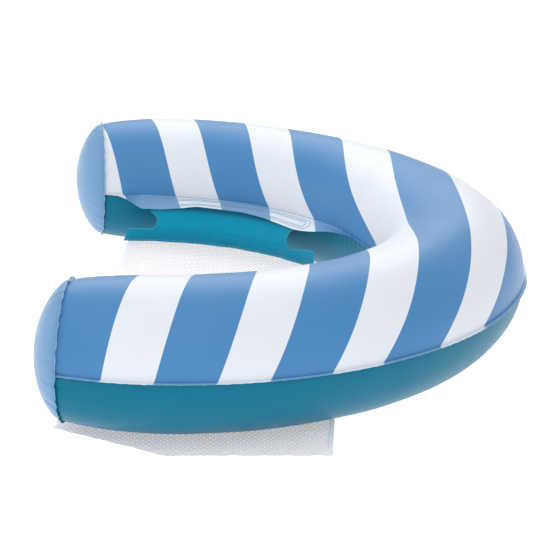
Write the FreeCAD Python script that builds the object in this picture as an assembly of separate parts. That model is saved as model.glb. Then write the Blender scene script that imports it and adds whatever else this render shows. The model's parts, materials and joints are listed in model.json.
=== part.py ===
import FreeCAD, Part
import math
import os

# Inflatable U-shaped pool float: one air tube welded from a striped top panel and a plain
# bottom panel, closed by a domed cap at each arm's end. A mesh sling hangs between the arms
# from two vinyl skirts. It stands on the ground with the slack mesh folded under one arm.
#
# Frame: +X towards the bend, +Y towards the left arm, +Z up. The geometry is worked out with
# the middle of the bend's centreline at X = Y = 0 and the weld seam at Z = 0, and each piece
# is then moved so that the origin is on the ground, under the middle of the whole float.

# ---- driving dimensions, in millimetres and degrees ----
TUBE_R = 112.0              # arm radius
NOSE_SWELL = 3.7            # how much fatter the tube is at the bend
SWELL_START = 330.0         # the swelling starts this far from an arm's end
SWELL_LENGTH = 500.0
TIP_PINCH = 13.7            # how much the end weld draws the tube in
PINCH_LENGTH = 55.0
NOSE_BEND_R = 344.0         # centreline radius at the bend
NOSE_HALF_ANGLE = 14.67
SHOULDER_BEND_R = 481.0     # centreline radius along the arms
TOE_IN = 6.1                # the arms' ends lean towards each other
ARM_STRAIGHT = 60.0

VINYL = 0.8                 # drawn thickness of a 0.28 mm film
FRINGE = 5.5                # welded edge outside the air chamber
END_FRINGE = 4.5
CAP_HEIGHT = 46.0

FLANGE_WIDTH = 34.0         # the inner edge is wide where the sling is welded on
FLANGE_DROOP = 18.0
FLANGE_RISE = (14.0, 76.0)  # distances from the arm's end over which it widens
FLANGE_FALL = (480.0, 660.0)

SKIRT_START = 42.0          # the skirt's lower edge, as distances from the arm's end
SKIRT_END = 551.0
SKIRT_BOTTOM = 77.0         # below the weld seam
TAB_NEAR = 8.0              # the tab under the flange, as distances from the seam
TAB_FAR = 24.0
WELD_GAP = 0.45             # drawn between welded layers, so that their curved faces don't cross
SCOOP_R = 24.0
SCOOP_REAR = 81.0           # centres of the scooped ends, from the arm's end
SCOOP_FRONT = 454.0
SCOOP_BELOW = 27.0          # their depth below the weld seam
SCOOP_CUT = (80.0, 140.0, 60.0)     # depth, length and height of the block that opens each scoop

MESH = 0.8                  # drawn thickness of the net
LAYER_GAP = 0.4             # between the two folded layers
HEM = 9.0
BACKING = 12.0              # height of the strip that clamps the net to the skirt
FOLD_TURN = 1.5             # how far the two layers are joined from the fold
FOLD_REAR = (-605.0, -424.0)    # corners of the fold, on the ground
FOLD_MIDDLE = (-446.0, -536.0)
FOLD_FRONT = (-214.0, -522.0)

VALVE_FROM_END = 300.0      # along the left arm
VALVE_ANGLE = 32.0          # above the weld seam, on the arm's outer side
VALVE_SPREAD = 20.0         # the welded disc is cut from this much of the tube's skin each way
VALVE_FLANGE_R = 18.0
VALVE_FLANGE = 1.2
COLLAR_R = 10.0
COLLAR_DEPTH = 8.0
STEM_R = 6.5
STEM_RUN = 0.1              # radial clearance of the stem in its collar
STEM_BORE_R = 4.2
STEM_LENGTH = 20.0
LIP_R = 8.6
LIP = 1.5
STOP_BEAD_R = 7.6
STOP_BEAD = 1.2
GAP = 0.3                   # between pieces that move against each other
CLEAR = 10.0                # how far a cut runs past the faces that it cuts
ROOT = 1.0                  # how far a strap runs into the disc that it grows from
PLUG_CAP_R = 7.5
PLUG_CAP = 1.2
PLUG_TOP_R = 3.9
PLUG_TIP_R = 2.4
PLUG_DEPTH = 5.0
HINGE_OFFSET = 11.5
HINGE_WIDTH = 4.0
FLAP_R = 5.6
FLAP = 0.6

STEP_LENGTH = 26.0          # spacing of the sections along the tube

# ---- derived values ----
ALPHA = math.radians(NOSE_HALF_ANGLE)
END_HEADING = math.radians(90.0 + TOE_IN)
NOSE_ARC = NOSE_BEND_R * ALPHA
SHOULDER_ARC = SHOULDER_BEND_R * (END_HEADING - ALPHA)
HALF_LENGTH = NOSE_ARC + SHOULDER_ARC + ARM_STRAIGHT
GROUND = -(TUBE_R + NOSE_SWELL)
LEFT, RIGHT = 1, -1


def smooth(value, low, high):
    """0 below low, 1 above high, and a smooth step between."""
    t = min(1.0, max(0.0, (value - low) / (high - low)))
    return t * t * (3.0 - 2.0 * t)


def centreline(u):
    """Place and heading at the signed distance u from the middle of the bend, + on the left arm."""
    side = LEFT if u >= 0.0 else RIGHT
    along = abs(u)
    x1 = NOSE_BEND_R * (math.cos(ALPHA) - 1.0)
    y1 = NOSE_BEND_R * math.sin(ALPHA)
    if along <= NOSE_ARC:
        turn = along / NOSE_BEND_R
        x = NOSE_BEND_R * (math.cos(turn) - 1.0)
        y = NOSE_BEND_R * math.sin(turn)
    else:
        turn = min(ALPHA + (along - NOSE_ARC) / SHOULDER_BEND_R, END_HEADING)
        x = x1 + SHOULDER_BEND_R * (math.cos(turn) - math.cos(ALPHA))
        y = y1 + SHOULDER_BEND_R * (math.sin(turn) - math.sin(ALPHA))
        straight = max(0.0, along - NOSE_ARC - SHOULDER_ARC)
        x -= straight * math.sin(turn)
        y += straight * math.cos(turn)
    return x, side * y, side * turn


def from_end(u):
    """Distance from the nearer arm's end."""
    return HALF_LENGTH - abs(u)


def radius(u):
    e = from_end(u)
    return TUBE_R - TIP_PINCH * math.exp(-e / PINCH_LENGTH) + NOSE_SWELL * smooth(
        e, SWELL_START, SWELL_START + SWELL_LENGTH)


def flange_share(u):
    """1 where the sling's flange has its full width, 0 where there is only a plain fringe."""
    e = from_end(u)
    return smooth(e, *FLANGE_RISE) * (1.0 - smooth(e, *FLANGE_FALL))


def place(u, n, z):
    """The point n outwards of the centreline and z above the seam, at u along it."""
    x, y, turn = centreline(u)
    return FreeCAD.Vector(x + n * math.cos(turn), y + n * math.sin(turn), z)


def on_flange(u, out, up):
    """Section coordinates of a point on the drooping flange: out from the seam, up from its middle."""
    droop = math.radians(FLANGE_DROOP) * flange_share(u)
    n = -radius(u) - out * math.cos(droop) - up * math.sin(droop)
    return n, -out * math.sin(droop) + up * math.cos(droop)


def stations(u_from, u_to):
    """Evenly spaced places of the sections from u_from to u_to."""
    count = max(2, int(round(abs(u_to - u_from) / STEP_LENGTH)))
    return [u_from + (u_to - u_from) * i / count for i in range(count + 1)]


def loft(wires):
    solid = Part.makeLoft(wires, True, False)
    if solid.Volume < 0.0:
        solid.reverse()
    return solid


def arc(u, r, n_from, z_from, n_to, z_to, half):
    """Circular edge about the centreline over the top (half = 1) or under the bottom (half = -1)."""
    return Part.Arc(place(u, n_from, z_from), place(u, 0.0, half * r), place(u, n_to, z_to)).toShape()


def panel_section(u, half):
    """Closed outline of one panel: fringe, half tube and inner flange."""
    r = radius(u)
    inside = r - VINYL
    width = FRINGE + (FLANGE_WIDTH - FRINGE) * flange_share(u)
    droop = math.radians(FLANGE_DROOP) * flange_share(u)
    shoulder = VINYL / math.cos(droop)
    outer_n = math.sqrt(r * r - VINYL * VINYL)
    inner_n = -math.sqrt(r * r - shoulder * shoulder)
    fringe_tip = r + FRINGE
    ply_end = on_flange(u, width, half * VINYL)
    mid_end = on_flange(u, width, 0.0)
    corners = [(inner_n, half * shoulder), ply_end, mid_end, (-r, 0.0), (-inside, 0.0)]
    inner_side = Part.makePolygon([place(u, n, z) for n, z in corners]).Edges
    corners = [(inside, 0.0), (fringe_tip, 0.0), (fringe_tip, half * VINYL), (outer_n, half * VINYL)]
    outer_side = Part.makePolygon([place(u, n, z) for n, z in corners]).Edges
    over = arc(u, r, outer_n, half * VINYL, inner_n, half * shoulder, half)
    back = arc(u, inside, -inside, 0.0, inside, 0.0, half)
    return Part.Wire([over] + inner_side + [back] + outer_side)


def end_ring(side, half):
    """Half of the end weld's fringe, standing out round the arm's end."""
    u = side * HALF_LENGTH
    r_in = radius(u) - VINYL
    r_out = radius(u) + END_FRINGE
    edges = [
        arc(u, r_out, r_out, 0.0, -r_out, 0.0, half),
        Part.makeLine(place(u, -r_out, 0.0), place(u, -r_in, 0.0)),
        arc(u, r_in, -r_in, 0.0, r_in, 0.0, half),
        Part.makeLine(place(u, r_in, 0.0), place(u, r_out, 0.0)),
    ]
    inwards = place(u - side * VINYL, 0.0, 0.0) - place(u, 0.0, 0.0)
    return Part.Face(Part.Wire(edges)).extrude(inwards)


def panel(half):
    tube = loft([panel_section(u, half) for u in stations(-HALF_LENGTH, HALF_LENGTH)])
    return tube.fuse([end_ring(LEFT, half), end_ring(RIGHT, half)])


def end_cap(side):
    """Domed disc with a flat rim that lies on the tube's end fringe."""
    u = side * HALF_LENGTH
    centre = place(u, 0.0, 0.0)
    axis = (centre - place(u - side, 0.0, 0.0)).normalize()
    rim = radius(u)

    def dome(r, start, top):
        """Three points of a circular arc from the rim at start to the axis at top."""
        height = top - start
        ball = (r * r + height * height) / (2.0 * height)
        half_angle = math.asin(r / ball) / 2.0
        middle = (top - ball + ball * math.cos(half_angle), ball * math.sin(half_angle))
        return (start, r), middle, (top, 0.0)

    def at(point):
        out, r = point
        return centre + axis * out + FreeCAD.Vector(0.0, 0.0, r)

    outer = [at(p) for p in dome(rim, VINYL, CAP_HEIGHT)]
    inner = [at(p) for p in dome(rim - VINYL, 0.0, CAP_HEIGHT - VINYL)]
    rim_bottom, rim_top = at((0.0, rim + END_FRINGE)), at((VINYL, rim + END_FRINGE))
    edges = [
        Part.Arc(*outer).toShape(),
        Part.makeLine(outer[2], inner[2]),
        Part.Arc(*inner).toShape(),
        Part.makeLine(inner[0], rim_bottom),
        Part.makeLine(rim_bottom, rim_top),
        Part.makeLine(rim_top, outer[0]),
    ]
    profile = Part.Wire(Part.__sortEdges__(edges))
    return Part.Face(profile).revolve(centre, axis, 360.0)


def hanging_n(u):
    """Section coordinate of the skirt's face towards the tube."""
    n, _ = on_flange(u, TAB_FAR, -VINYL - WELD_GAP)
    return n


def skirt(side):
    """Strip welded under the flange by its tab and hanging down, with both ends scooped out."""
    def section(u):
        tab_top = -VINYL - WELD_GAP
        tab_low = tab_top - VINYL
        face_n = hanging_n(u)
        seat_n, seat_z = on_flange(u, TAB_FAR + VINYL, tab_top)
        points = [
            on_flange(u, TAB_NEAR, tab_top),
            (seat_n, seat_z),
            (seat_n, -SKIRT_BOTTOM),
            (face_n, -SKIRT_BOTTOM),
            (face_n, on_flange(u, TAB_FAR, tab_low)[1]),
            on_flange(u, TAB_NEAR, tab_low),
        ]
        corners = [place(u, n, z) for n, z in points]
        return Part.makePolygon(corners + corners[:1])

    u_rear = side * (HALF_LENGTH - SKIRT_START)
    u_front = side * (HALF_LENGTH - SKIRT_END)
    strip = loft([section(u) for u in stations(u_rear, u_front)])
    scoops = []
    depth, length, height = SCOOP_CUT
    for scoop_at, towards in ((SCOOP_REAR, 1.0), (SCOOP_FRONT, -1.0)):
        u = side * (HALF_LENGTH - scoop_at)
        turn = centreline(u)[2]
        outwards = FreeCAD.Vector(math.cos(turn), math.sin(turn), 0.0)
        along = (place(u + side * towards, 0.0, 0.0) - place(u, 0.0, 0.0)).normalize()
        middle = place(u, hanging_n(u) - depth / 2.0, -SCOOP_BELOW)
        low = middle - FreeCAD.Vector(0.0, 0.0, SCOOP_R)
        corners = [low, low + along * length]
        corners += [p + FreeCAD.Vector(0.0, 0.0, height) for p in reversed(corners)]
        slab = Part.Face(Part.makePolygon(corners + corners[:1])).extrude(outwards * depth)
        scoops += [slab, Part.makeCylinder(SCOOP_R, depth, middle, outwards)]
    return strip.cut(scoops)


def band(side, e_from, e_to, near, far, z_low, z_high):
    """Upright strip that follows the skirt, between two distances from its face to the tube."""
    def section(u):
        n = hanging_n(u) + WELD_GAP
        corners = [place(u, n + near, z_low), place(u, n + far, z_low),
                   place(u, n + far, z_high), place(u, n + near, z_high)]
        return Part.makePolygon(corners + corners[:1])

    return loft([section(u) for u in stations(side * (HALF_LENGTH - e_from), side * (HALF_LENGTH - e_to))])


def slab(points, z_low, z_high):
    corners = [FreeCAD.Vector(x, y, z_low) for x, y in points]
    face = Part.Face(Part.makePolygon(corners + corners[:1]))
    return face.extrude(FreeCAD.Vector(0.0, 0.0, z_high - z_low))


def along_fold(corner, distance):
    """Point on the fold, the distance from one of its end corners towards its middle."""
    dx, dy = FOLD_MIDDLE[0] - corner[0], FOLD_MIDDLE[1] - corner[1]
    share = distance / math.hypot(dx, dy)
    return corner[0] + dx * share, corner[1] + dy * share


def sling_piece(e_from, e_to, fold_points):
    """One strip or the whole width of the sling: up to both skirts, and folded on the ground."""
    upper = GROUND + MESH + LAYER_GAP
    top = -SKIRT_BOTTOM + BACKING
    pieces = []
    for side, floor in ((LEFT, GROUND), (RIGHT, upper)):
        pieces.append(band(side, e_from, e_to, 0.0, MESH, floor, top))
        us = stations(side * (HALF_LENGTH - e_from), side * (HALF_LENGTH - e_to))
        under = [place(u, hanging_n(u) + WELD_GAP + MESH / 2.0, 0.0) for u in us]
        outline = [(p.x, p.y) for p in under] + fold_points
        pieces.append(slab(outline, floor, floor + MESH))
    inner_fold = [(x, y + FOLD_TURN) for x, y in reversed(fold_points)]
    pieces.append(slab(fold_points + inner_fold, GROUND, upper + MESH))
    return pieces[0].fuse(pieces[1:]).removeSplitter()


def sling():
    """The net and the tapes that bind its rear and front edges."""
    rear_in = along_fold(FOLD_REAR, HEM)
    front_in = along_fold(FOLD_FRONT, HEM)
    return {
        "sling_mesh": sling_piece(SKIRT_START + HEM, SKIRT_END - HEM, [front_in, FOLD_MIDDLE, rear_in]),
        "sling_rear_hem": sling_piece(SKIRT_START, SKIRT_START + HEM, [rear_in, FOLD_REAR]),
        "sling_front_hem": sling_piece(SKIRT_END - HEM, SKIRT_END, [FOLD_FRONT, front_in]),
    }


def valve():
    """Push-in valve on the left arm. Heights are along its axis, from the vinyl's outer face."""
    u = HALF_LENGTH - VALVE_FROM_END
    lift = math.radians(VALVE_ANGLE)
    r = radius(u)
    turn = centreline(u)[2]
    out = FreeCAD.Vector(math.cos(turn) * math.cos(lift), math.sin(turn) * math.cos(lift), math.sin(lift))
    seat = place(u, r * math.cos(lift), r * math.sin(lift))
    along = FreeCAD.Vector(-math.sin(turn), math.cos(turn), 0.0)
    hinge_side = along.cross(out)

    def disc(r_disc, low, high):
        return Part.makeCylinder(r_disc, high - low, seat + out * low, out)

    def ring(r_ring, r_hole, low, high):
        return disc(r_ring, low, high).cut(disc(r_hole, low - CLEAR, high + CLEAR))

    def plate(hinge_from, hinge_to, low, high):
        """Tongue of the hinge's width, between two distances from the valve's axis."""
        corner = seat + hinge_side * hinge_from + out * low - along * (HINGE_WIDTH / 2.0)
        corners = [corner, corner + hinge_side * (hinge_to - hinge_from)]
        corners += [p + out * (high - low) for p in reversed(corners)]
        return Part.Face(Part.makePolygon(corners + corners[:1])).extrude(along * HINGE_WIDTH)

    def shell_section(at_u):
        """Ring under the vinyl, over the part of the tube round the valve."""
        r_out = radius(at_u) - VINYL
        r_in = r_out - VALVE_FLANGE
        low, high = math.radians(VALVE_ANGLE - VALVE_SPREAD), math.radians(VALVE_ANGLE + VALVE_SPREAD)
        arcs = []
        for r_arc, ends in ((r_out, (low, high)), (r_in, (high, low))):
            angles = (ends[0], (low + high) / 2.0, ends[1])
            points = [place(at_u, r_arc * math.cos(a), r_arc * math.sin(a)) for a in angles]
            arcs.append(points)
        return Part.Wire([
            Part.Arc(*arcs[0]).toShape(), Part.makeLine(arcs[0][2], arcs[1][0]),
            Part.Arc(*arcs[1]).toShape(), Part.makeLine(arcs[1][2], arcs[0][0])])

    under_skin = loft([shell_section(s) for s in stations(u - STEP_LENGTH, u + STEP_LENGTH)])
    welded_disc = under_skin.common(disc(VALVE_FLANGE_R, -CLEAR, CLEAR))
    collar = disc(COLLAR_R, -COLLAR_DEPTH, 0.0)
    base = welded_disc.fuse(collar).cut(disc(STEM_R + STEM_RUN, -COLLAR_DEPTH - CLEAR, CLEAR))

    stem = ring(STEM_R, STEM_BORE_R, -STEM_LENGTH, GAP + LIP)
    stem = stem.fuse([
        ring(LIP_R, STEM_BORE_R, GAP, GAP + LIP),
        ring(STOP_BEAD_R, STEM_BORE_R, -STEM_LENGTH, STOP_BEAD - STEM_LENGTH),
        plate(LIP_R - ROOT, HINGE_OFFSET + PLUG_CAP / 2.0, GAP, GAP + LIP)]).removeSplitter()

    cap_low = 2.0 * GAP + LIP
    cap_high = cap_low + PLUG_CAP
    hinge_height = (cap_low + cap_high) / 2.0
    knuckle_at = seat + hinge_side * HINGE_OFFSET + out * hinge_height - along * (HINGE_WIDTH / 2.0)
    stopper = Part.makeCone(PLUG_TIP_R, PLUG_TOP_R, PLUG_DEPTH, seat + out * (cap_low - PLUG_DEPTH), out)
    plug = disc(PLUG_CAP_R, cap_low, cap_high).fuse([
        stopper,
        plate(PLUG_CAP_R - ROOT, HINGE_OFFSET, cap_low, cap_high),
        Part.makeCylinder(PLUG_CAP / 2.0, HINGE_WIDTH, knuckle_at, along)]).removeSplitter()

    flap_top = -STEM_LENGTH - GAP
    flap_point = seat + hinge_side * FLAP_R + out * (flap_top - FLAP / 2.0)
    flap = disc(FLAP_R, flap_top - FLAP, flap_top).fuse([
        plate(FLAP_R - ROOT, FLAP_R, flap_top - FLAP, flap_top),
        Part.makeCylinder(FLAP / 2.0, HINGE_WIDTH, flap_point - along * (HINGE_WIDTH / 2.0), along)])

    places = {
        "valve axis": out,
        "plug hinge axis": along,
        "plug hinge point": seat + hinge_side * HINGE_OFFSET + out * hinge_height,
        "flap hinge axis": along,
        "flap hinge point": flap_point,
        "seat": seat,
    }
    parts = {"valve_base": base, "valve_stem": stem, "valve_plug": plug, "valve_flap": flap.removeSplitter()}
    return parts, disc(COLLAR_R, -COLLAR_DEPTH, CLEAR), places


def main():
    valve_parts, valve_hole, places = valve()
    nodes = {"top_panel": panel(1).cut(valve_hole), "bottom_panel": panel(-1)}
    for name, side in (("left", LEFT), ("right", RIGHT)):
        nodes[name + "_end_cap"] = end_cap(side)
        nodes[name + "_sling_skirt"] = skirt(side)
        nodes[name + "_mesh_backing_strip"] = band(
            side, SKIRT_START + HEM, SKIRT_END - HEM, MESH + WELD_GAP, MESH + WELD_GAP + VINYL,
            -SKIRT_BOTTOM, -SKIRT_BOTTOM + BACKING)
    nodes.update(sling())
    nodes.update(valve_parts)

    os.makedirs("parts", exist_ok=True)
    low_x = min(shape.optimalBoundingBox(False).XMin for shape in nodes.values())
    high_x = max(shape.optimalBoundingBox(False).XMax for shape in nodes.values())
    move = FreeCAD.Vector(-(low_x + high_x) / 2.0, 0.0, -GROUND)
    print("moved by", move)
    for name, shape in sorted(nodes.items()):
        shape.translate(move)
        box = shape.optimalBoundingBox(False)
        print("%-26s solids %d valid %s volume %.0f box %.1f..%.1f %.1f..%.1f %.1f..%.1f" % (
            name, len(shape.Solids), shape.isValid(), shape.Volume,
            box.XMin, box.XMax, box.YMin, box.YMax, box.ZMin, box.ZMax))
        shape.exportStep("parts/%s.step" % name)
    for name, vector in places.items():
        print(name, vector if "axis" in name else vector + move)


main()
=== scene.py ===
"""Looks of an inflatable U-shaped swim seat: striped air tube, domed end caps, mesh sling and air valve.

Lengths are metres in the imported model's frame: +X towards the bend, +Y towards the left arm, +Z up.
A place on the tube is given by u, the distance along its centreline from the middle of the bend
(positive on the left arm), and by n and z, the distances outwards from the centreline and above
the weld seam.
"""
import json
import logging
import math
from dataclasses import dataclass
from enum import Enum
from typing import Optional, Sequence

import bpy
import numpy as np
from mathutils import Matrix, Vector

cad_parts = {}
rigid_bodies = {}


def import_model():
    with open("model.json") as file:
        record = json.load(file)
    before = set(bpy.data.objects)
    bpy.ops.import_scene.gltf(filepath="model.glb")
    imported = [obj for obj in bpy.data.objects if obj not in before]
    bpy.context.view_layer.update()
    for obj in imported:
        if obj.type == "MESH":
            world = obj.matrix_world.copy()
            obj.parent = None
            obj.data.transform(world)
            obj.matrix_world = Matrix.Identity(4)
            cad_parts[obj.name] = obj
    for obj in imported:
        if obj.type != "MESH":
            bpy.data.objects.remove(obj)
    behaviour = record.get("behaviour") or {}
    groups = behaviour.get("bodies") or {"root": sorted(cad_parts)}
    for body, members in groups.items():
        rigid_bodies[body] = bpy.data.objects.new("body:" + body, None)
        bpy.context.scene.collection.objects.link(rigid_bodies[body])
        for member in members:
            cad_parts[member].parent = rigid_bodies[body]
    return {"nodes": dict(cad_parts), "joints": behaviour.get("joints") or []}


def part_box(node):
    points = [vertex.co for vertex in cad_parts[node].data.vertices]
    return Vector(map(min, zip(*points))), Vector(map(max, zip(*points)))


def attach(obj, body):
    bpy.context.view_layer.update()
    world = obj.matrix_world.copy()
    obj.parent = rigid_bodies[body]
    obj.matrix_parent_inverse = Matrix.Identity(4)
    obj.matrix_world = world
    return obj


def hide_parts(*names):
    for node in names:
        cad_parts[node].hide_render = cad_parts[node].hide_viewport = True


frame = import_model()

LOG = logging.getLogger("swim_seat")
MM = 0.001
TURN = 2.0 * math.pi


class Side(Enum):
    """The two arms, by the sign of Y."""

    LEFT = 1
    RIGHT = -1

    @property
    def word(self) -> str:
        """The side's name as node names use it."""
        return self.name.lower()


class Half(Enum):
    """The two panels that the tube is welded from, by the sign of Z from the seam."""

    TOP = 1
    BOTTOM = -1


# ---------------------------------------------------------------- numbers and meshes


def smooth(value: np.ndarray, low: float, high: float) -> np.ndarray:
    """Smooth step from 0 at low to 1 at high."""
    t = np.clip((np.asarray(value, float) - low) / (high - low), 0.0, 1.0)
    return t * t * (3.0 - 2.0 * t)


def ripple(x: np.ndarray, wavelength: float, seed: int) -> np.ndarray:
    """Uneven wave, as film or cloth makes when it is gathered.

    Args:
        x: Distances along the gathered edge.
        wavelength: Length of its main wave.
        seed: Picks the phases.

    Returns:
        Heights between -1 and 1.
    """
    draw = np.random.default_rng(seed)
    x = np.asarray(x, float)
    total = np.zeros_like(x)
    for share, stretch in ((0.5, 1.0), (0.3, 0.631), (0.2, 1.743)):
        phase = draw.uniform(0.0, TURN)
        total = total + share * np.sin(TURN * x / (wavelength * stretch) + phase)
    return total


def grid_normals(points: np.ndarray) -> np.ndarray:
    """Unit normals of a grid of points, from its two directions."""
    across = np.cross(np.gradient(points, axis=0), np.gradient(points, axis=1))
    return across / np.maximum(np.linalg.norm(across, axis=2, keepdims=True), 1e-12)


def grid_area(points: np.ndarray) -> float:
    """Area of a grid of points."""
    first, second = np.diff(points, axis=0)[:, :-1], np.diff(points, axis=1)[:-1]
    return float(np.linalg.norm(np.cross(first, second), axis=-1).sum())


class MeshMaker:
    """Collects closed shells and turns them into one mesh object."""

    def __init__(self, name: str) -> None:
        """Starts an empty mesh of that name.

        Args:
            name: Name of the mesh and of its object.
        """
        self.name = name
        self.points: list[np.ndarray] = []
        self.faces: list[np.ndarray] = []
        self.values: dict[str, list[np.ndarray]] = {}
        self.count = 0
        self.area = 0.0

    def shell(self, outer: np.ndarray, inner: np.ndarray, wrap: bool = False,
              keep: Optional[np.ndarray] = None, **values: np.ndarray) -> "MeshMaker":
        """Adds a closed shell between two grids of points.

        Args:
            outer: Points of the outside, rows by columns by 3.
            inner: Points of the inside, the same shape.
            wrap: Whether the last row joins the first.
            keep: Which of the grid's faces exist; all of them if it is left out.
            values: Numbers at the points, by attribute name.

        Returns:
            This maker.
        """
        rows, columns = outer.shape[:2]
        i, j = np.meshgrid(np.arange(rows if wrap else rows - 1), np.arange(columns - 1), indexing="ij")
        if keep is not None:
            i, j = i[keep], j[keep]
        i, j = i.ravel(), j.ravel()
        after = (i + 1) % rows
        here, beyond = i * columns + j, after * columns + j
        quads = np.stack([here, beyond, beyond + 1, here + 1], 1)
        edges = np.concatenate([quads[:, [k, (k + 1) % 4]] for k in range(4)])
        _, where, uses = np.unique(np.sort(edges, axis=1), axis=0, return_index=True, return_counts=True)
        rim = edges[where[uses == 1]]
        size = rows * columns
        faces = np.concatenate([quads, quads[:, ::-1] + size,
                                np.stack([rim[:, 1], rim[:, 0], rim[:, 0] + size, rim[:, 1] + size], 1)])
        points = np.concatenate([outer.reshape(-1, 3), inner.reshape(-1, 3)])
        a, b, c, d = (points[faces[:, k]] for k in range(4))
        volume = (a * np.cross(b, c)).sum() + (a * np.cross(c, d)).sum()
        if volume < 0.0:
            faces = faces[:, ::-1]
        self.points.append(points)
        self.faces.append(faces + self.count)
        for name, value in values.items():
            flat = np.broadcast_to(value, (rows, columns)).ravel()
            self.values.setdefault(name, []).append(np.concatenate([flat, flat]))
        self.count += len(points)
        return self

    def sheet(self, middle: np.ndarray, thickness: float, **values: np.ndarray) -> "MeshMaker":
        """Adds a sheet of even thickness about a grid of points.

        Args:
            middle: Points of the sheet's middle, rows by columns by 3.
            thickness: Thickness of the sheet.
            values: Numbers at the points, by attribute name.

        Returns:
            This maker.
        """
        half = grid_normals(middle) * thickness / 2.0
        self.area += grid_area(middle)
        return self.shell(middle + half, middle - half, **values)

    def make(self, crease: float = 38.0) -> bpy.types.Object:
        """Makes the object, with smooth faces and edges kept sharp past the crease angle in degrees.

        Args:
            crease: Angle in degrees past which an edge stays sharp.

        Returns:
            The object.
        """
        points = np.concatenate(self.points)
        faces = np.concatenate(self.faces)
        mesh = bpy.data.meshes.new(self.name)
        mesh.from_pydata(points.tolist(), [], faces.tolist())
        for name, parts in self.values.items():
            layer = mesh.attributes.new(name, "FLOAT", "POINT")
            layer.data.foreach_set("value", np.concatenate(parts).astype(np.float32))
        mesh.validate()
        mesh.polygons.foreach_set("use_smooth", np.ones(len(mesh.polygons), bool))
        mesh.set_sharp_from_angle(angle=math.radians(crease))
        made = bpy.data.objects.new(self.name, mesh)
        bpy.context.scene.collection.objects.link(made)
        return made


def merged(made: bpy.types.Object, distance: float = 0.01 * MM) -> bpy.types.Object:
    """Joins points that lie together, such as a pole's, and drops faces with no area.

    Args:
        made: The piece.
        distance: Points nearer to each other than this are joined.

    Returns:
        The same piece.
    """
    modifier = made.modifiers.new("merge", "WELD")
    modifier.merge_threshold = distance
    mesh = bpy.data.meshes.new_from_object(made.evaluated_get(bpy.context.evaluated_depsgraph_get()))
    made.modifiers.clear()
    made.data = mesh
    return made


def finished(made: bpy.types.Object, material: bpy.types.Material, slot: str, *nodes: str,
             body: str = "root") -> bpy.types.Object:
    """Dresses a piece, puts it on its body and lets it stand for its CAD nodes.

    Args:
        made: The piece.
        material: Its material.
        slot: Name of a material slot; not used.
        nodes: CAD nodes that it stands for.
        body: Body that it rides on.

    Returns:
        The same piece.
    """
    made.data.materials.clear()
    made.data.materials.append(material)
    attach(made, body)
    if nodes:
        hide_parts(*nodes)
    LOG.info("%s: %d faces, %s, on %s", made.name, len(made.data.polygons), material.name, body)
    return made


# ---------------------------------------------------------------- shader maths


class Book:
    """The node tree of one material, and the one place where its nodes are made."""

    def __init__(self, name: str) -> None:
        """Starts a material with its shader and output.

        Args:
            name: Name of the material.
        """
        self.material = bpy.data.materials.new(name)
        self.material.use_nodes = True
        self.tree = self.material.node_tree
        self.tree.nodes.clear()
        self.output = self.tree.nodes.new("ShaderNodeOutputMaterial")
        self.shader = self.tree.nodes.new("ShaderNodeBsdfPrincipled")
        self.tree.links.new(self.shader.outputs["BSDF"], self.output.inputs["Surface"])

    def node(self, kind: str, settings: Optional[dict] = None, out: object = 0, **sockets: object) -> "Link":
        """Adds a node.

        Args:
            kind: The node's type.
            settings: Its own settings, which are set first.
            out: Name or number of the output wanted.
            sockets: Values or links of its inputs: i0 is the first, and a name has _ for a space.

        Returns:
            The wanted output.
        """
        made = self.tree.nodes.new(kind)
        for key, value in (settings or {}).items():
            setattr(made, key, value)
        for key, value in sockets.items():
            numbered = key[0] == "i" and key[1:].isdigit()
            self.put(made.inputs[int(key[1:]) if numbered else key.replace("_", " ")], value)
        return Link(self, made.outputs[out])

    def put(self, socket: bpy.types.NodeSocket, value: object) -> None:
        """Gives a socket a value or a link.

        Args:
            socket: The input.
            value: A number, colour, vector or link.
        """
        if isinstance(value, Link):
            self.tree.links.new(value.socket, socket)
        else:
            socket.default_value = value

    def set(self, **sockets: object) -> "Book":
        """Sets sockets of the shader, with _ for a space.

        Args:
            sockets: Values or links, by the socket's name.

        Returns:
            This book.
        """
        for key, value in sockets.items():
            self.put(self.shader.inputs[key.replace("_", " ")], value)
        return self

    def place(self) -> "Link":
        """Object coordinates, which are the model's own."""
        return self.node("ShaderNodeTexCoord", out="Object")

    def attribute(self, name: str) -> "Link":
        """A number kept at the mesh's points."""
        return self.node("ShaderNodeAttribute", {"attribute_name": name}, out="Fac")

    def noise(self, size: float, detail: float = 3.0, roughness: float = 0.5) -> "Link":
        """Noise about 0.5 whose features are about size metres wide."""
        return self.node("ShaderNodeTexNoise", Vector=self.place(), Scale=1.0 / size, Detail=detail,
                         Roughness=roughness, out="Fac")

    def mix(self, share: object, first: object, second: object) -> "Link":
        """Colour between first and second."""
        return self.node("ShaderNodeMix", {"data_type": "RGBA"}, out=2, i0=share, i6=first, i7=second)

    def bump(self, height: "Link", distance: float, strength: float = 1.0) -> "Link":
        """Normal of a surface with that height, of distance metres for a height of 1."""
        return self.node("ShaderNodeBump", Strength=strength, Distance=distance, Height=height)


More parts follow.
